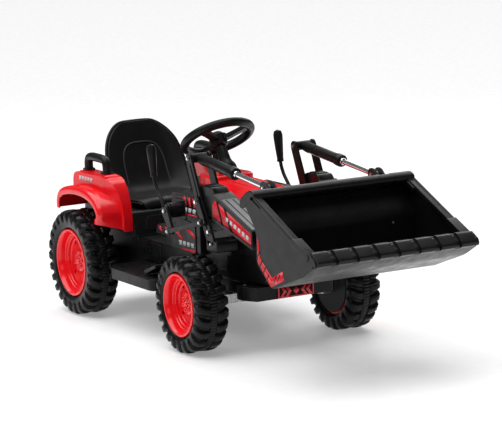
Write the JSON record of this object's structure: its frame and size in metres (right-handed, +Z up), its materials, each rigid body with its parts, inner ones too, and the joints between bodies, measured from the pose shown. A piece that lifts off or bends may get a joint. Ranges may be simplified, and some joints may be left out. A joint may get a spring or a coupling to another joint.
{
  "type": "ride-on tractor with front loader",
  "caption": "Child-size ride-on tractor with seat, steerable front wheels, fender handles, lift levers and a tilting front loader bucket on telescopic struts.",
  "frame": {"origin": "middle of the bounding box underside, on the ground the tyres stand on", "axes": "+X forward to the bucket, +Y to the driver's left, +Z up"},
  "size_m": [1.499, 0.56, 0.5833],
  "materials": {
    "body_plastic": "satin black blow-moulded plastic",
    "seat_plastic": "finely grained satin black plastic",
    "trim_plastic": "satin black plastic",
    "loader_plastic": "satin black plastic",
    "tyre_plastic": "semi-gloss hard black plastic",
    "red_plastic": "glossy red plastic",
    "frame_steel": "zinc-plated steel",
    "chrome": "polished"
  },
  "bodies": {
    "chassis": {"chassis_tub": "body_plastic", "seat_base": "body_plastic", "seat": "seat_plastic", "dash_cowl": "body_plastic", "nose": "body_plastic", "hood": "red_plastic", "bumper": "body_plastic", "bumper_plate": "red_plastic", "front_axle_beam": "frame_steel", "rear_axle": "frame_steel", "steering_column": "body_plastic", "fender_right": "red_plastic", "handle_right": "trim_plastic", "footrest_right": "body_plastic", "gearbox_right": "body_plastic", "mast_right": "loader_plastic", "lever_bracket_right": "body_plastic", "fender_left": "red_plastic", "handle_left": "trim_plastic", "footrest_left": "body_plastic", "gearbox_left": "body_plastic", "mast_left": "loader_plastic", "lever_bracket_left": "body_plastic"},
    "steering_wheel": {"steering_wheel": "trim_plastic"},
    "horn_button": {"horn_button": "trim_plastic"},
    "tie_rod": {"tie_rod": "frame_steel"},
    "pedal": {"pedal": "trim_plastic"},
    "loader_arms": {"arm_cross_tube": "loader_plastic", "arm_right": "loader_plastic", "arm_crank_right": "frame_steel", "arm_left": "loader_plastic", "arm_crank_left": "frame_steel"},
    "bucket": {"bucket": "loader_plastic", "cutting_edge": "loader_plastic"},
    "knuckle_right": {"knuckle_right": "frame_steel"},
    "wheel_rear_right": {"tyre_rear_right": "tyre_plastic", "rim_rear_right": "red_plastic"},
    "wheel_front_right": {"tyre_front_right": "tyre_plastic", "rim_front_right": "red_plastic"},
    "lever_right": {"lever_right": "loader_plastic", "lever_grip_right": "trim_plastic"},
    "lift_link_right": {"lift_link_right": "loader_plastic"},
    "strut_barrel_right": {"strut_barrel_right": "loader_plastic"},
    "strut_stage_right": {"strut_stage_right": "chrome"},
    "strut_rod_right": {"strut_rod_right": "chrome"},
    "knuckle_left": {"knuckle_left": "frame_steel"},
    "wheel_rear_left": {"tyre_rear_left": "tyre_plastic", "rim_rear_left": "red_plastic"},
    "wheel_front_left": {"tyre_front_left": "tyre_plastic", "rim_front_left": "red_plastic"},
    "lever_left": {"lever_left": "loader_plastic", "lever_grip_left": "trim_plastic"},
    "lift_link_left": {"lift_link_left": "loader_plastic"},
    "strut_barrel_left": {"strut_barrel_left": "loader_plastic"},
    "strut_stage_left": {"strut_stage_left": "chrome"},
    "strut_rod_left": {"strut_rod_left": "chrome"}
  },
  "joints": [
    {"name": "steering", "type": "hinge", "parent": "chassis", "child": "steering_wheel", "pos_m": [-0.17953, 0, 0.5228], "axis": [-0.5299, 0, 0.848], "range_deg": [-40, 40]},
    {"name": "horn_press", "type": "slide", "parent": "steering_wheel", "child": "horn_button", "axis": [0.5299, 0, -0.848], "range_m": [0, 0.003], "stiffness_N_per_m": 400},
    {"name": "tie_rod_slide", "type": "slide", "parent": "chassis", "child": "tie_rod", "axis": [0, 1, 0], "range_m": [-0.0195, 0.0195]},
    {"name": "pedal_press", "type": "hinge", "parent": "chassis", "child": "pedal", "pos_m": [-0.18654, -0.208, 0.175], "axis": [0, 1, 0], "range_deg": [0, 10], "stiffness_Nm_per_rad": 3},
    {"name": "arm_lift", "type": "hinge", "parent": "chassis", "child": "loader_arms", "pos_m": [0.05946, 0, 0.395], "axis": [0, -1, 0], "range_deg": [-8, 25]},
    {"name": "bucket_tilt", "type": "hinge", "parent": "loader_arms", "child": "bucket", "pos_m": [0.37746, 0, 0.328], "axis": [0, -1, 0], "range_deg": [-25, 15]},
    {"name": "steer_right", "type": "hinge", "parent": "chassis", "child": "knuckle_right", "pos_m": [0.07346, -0.165, 0.13], "axis": [0, 0, 1], "range_deg": [-18.5, 18.5]},
    {"name": "front_spin_right", "type": "hinge", "parent": "knuckle_right", "child": "wheel_front_right", "pos_m": [0.07346, -0.2315, 0.13], "axis": [0, 1, 0], "continuous": true},
    {"name": "rear_spin_right", "type": "hinge", "parent": "chassis", "child": "wheel_rear_right", "pos_m": [-0.58454, -0.234, 0.15], "axis": [0, 1, 0], "continuous": true},
    {"name": "lever_right", "type": "hinge", "parent": "chassis", "child": "lever_right", "pos_m": [-0.12954, -0.195, 0.347], "axis": [0, -1, 0], "range_deg": [-8.5, 25.5]},
    {"name": "link_right", "type": "hinge", "parent": "lever_right", "child": "lift_link_right", "pos_m": [-0.09554, -0.206, 0.297], "axis": [0, -1, 0], "range_deg": [-25.5, 8.5]},
    {"name": "strut_right", "type": "hinge", "parent": "chassis", "child": "strut_barrel_right", "pos_m": [0.01146, -0.16, 0.504], "axis": [0, -1, 0], "range_deg": [-7, 21.5]},
    {"name": "stage_right", "type": "slide", "parent": "strut_barrel_right", "child": "strut_stage_right", "axis": [0.9947, 0, -0.1027], "range_m": [-0.049, 0.0165]},
    {"name": "rod_right", "type": "slide", "parent": "strut_stage_right", "child": "strut_rod_right", "axis": [0.9947, 0, -0.1027], "range_m": [-0.0355, 0.0585]},
    {"name": "steer_left", "type": "hinge", "parent": "chassis", "child": "knuckle_left", "pos_m": [0.07346, 0.165, 0.13], "axis": [0, 0, 1], "range_deg": [-18.5, 18.5]},
    {"name": "front_spin_left", "type": "hinge", "parent": "knuckle_left", "child": "wheel_front_left", "pos_m": [0.07346, 0.2315, 0.13], "axis": [0, 1, 0], "continuous": true},
    {"name": "rear_spin_left", "type": "hinge", "parent": "chassis", "child": "wheel_rear_left", "pos_m": [-0.58454, 0.234, 0.15], "axis": [0, 1, 0], "continuous": true},
    {"name": "lever_left", "type": "hinge", "parent": "chassis", "child": "lever_left", "pos_m": [-0.12954, 0.195, 0.347], "axis": [0, -1, 0], "range_deg": [-8.5, 25.5]},
    {"name": "link_left", "type": "hinge", "parent": "lever_left", "child": "lift_link_left", "pos_m": [-0.09554, 0.206, 0.297], "axis": [0, -1, 0], "range_deg": [-25.5, 8.5]},
    {"name": "strut_left", "type": "hinge", "parent": "chassis", "child": "strut_barrel_left", "pos_m": [0.01146, 0.16, 0.504], "axis": [0, -1, 0], "range_deg": [-7, 21.5]},
    {"name": "stage_left", "type": "slide", "parent": "strut_barrel_left", "child": "strut_stage_left", "axis": [0.9947, 0, -0.1027], "range_m": [-0.049, 0.0165]},
    {"name": "rod_left", "type": "slide", "parent": "strut_stage_left", "child": "strut_rod_left", "axis": [0.9947, 0, -0.1027], "range_m": [-0.0355, 0.0585]}
  ],
  "couplings": [
    {"joint": "tie_rod_slide", "follows": "steering", "m_per_rad": -0.027},
    {"joint": "steer_right", "follows": "steering", "ratio": 0.45},
    {"joint": "lever_right", "follows": "arm_lift", "ratio": 1},
    {"joint": "link_right", "follows": "arm_lift", "ratio": -1},
    {"joint": "strut_right", "follows": "arm_lift", "ratio": 0.845},
    {"joint": "stage_right", "follows": "arm_lift", "m_per_rad": -0.11},
    {"joint": "rod_right", "follows": "bucket_tilt", "m_per_rad": -0.1325},
    {"joint": "steer_left", "follows": "steering", "ratio": 0.45},
    {"joint": "lever_left", "follows": "arm_lift", "ratio": 1},
    {"joint": "link_left", "follows": "arm_lift", "ratio": -1},
    {"joint": "strut_left", "follows": "arm_lift", "ratio": 0.845},
    {"joint": "stage_left", "follows": "arm_lift", "m_per_rad": -0.11},
    {"joint": "rod_left", "follows": "bucket_tilt", "m_per_rad": -0.1325}
  ]
}
